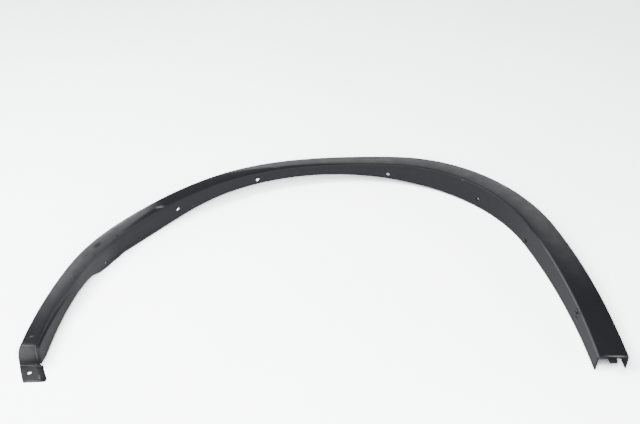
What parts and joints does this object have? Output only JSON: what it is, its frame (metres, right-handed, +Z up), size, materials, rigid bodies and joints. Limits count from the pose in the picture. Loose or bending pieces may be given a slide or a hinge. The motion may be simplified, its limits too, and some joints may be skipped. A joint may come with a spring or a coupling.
{
  "type": "fender moulding",
  "caption": "Arched wheel arch moulding of thin satin plastic: wheel side flange with clip holes, rounded face, outer skirt, foot with screw tab and open tail with tongue.",
  "frame": {"origin": "bottom centre of the bounding box, on the floor that the moulding lies on, face up", "axes": "+X from the foot leg to the tail leg, +Y from the open side of the arch to its crown, +Z up from the floor to the visible face"},
  "size_m": [0.9262, 0.5742, 0.049],
  "materials": {
    "moulding_plastic": "satin black moulded plastic with a fine grain, lightly worn"
  },
  "bodies": {
    "root": {"moulding": "moulding_plastic"}
  },
  "joints": []
}
